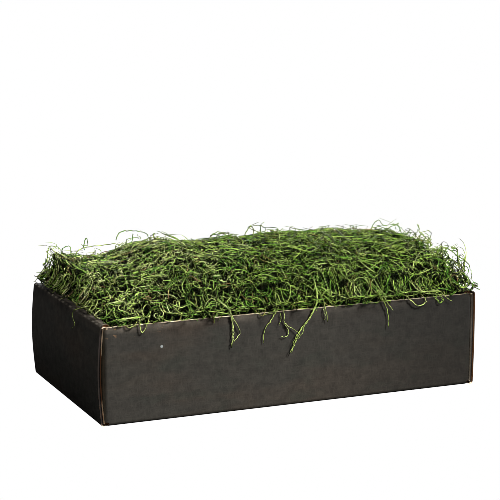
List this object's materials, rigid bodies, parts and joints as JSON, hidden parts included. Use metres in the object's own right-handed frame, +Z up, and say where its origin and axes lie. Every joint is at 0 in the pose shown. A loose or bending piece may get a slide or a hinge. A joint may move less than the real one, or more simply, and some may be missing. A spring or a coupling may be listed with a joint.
{
  "type": "spanish moss bunch in a cardboard tray",
  "caption": "Tangled bunch of curling green Spanish moss heaped in a low, dark corrugated cardboard tray, with loose sprigs trailing over its rim.",
  "frame": {"origin": "centre of the tray's underside", "axes": "+Z up, +X along the long front wall to the right, +Y towards the back wall"},
  "size_m": [0.3072, 0.1653, 0.1175],
  "materials": {
    "cardboard": "black-brown printed corrugated board, matt, kraft-brown raw edges",
    "moss": "preserved moss strands, mixed green and olive, faintly waxy"
  },
  "bodies": {
    "root": {"carton_tray": "cardboard", "moss_bunch": "moss"}
  },
  "joints": []
}
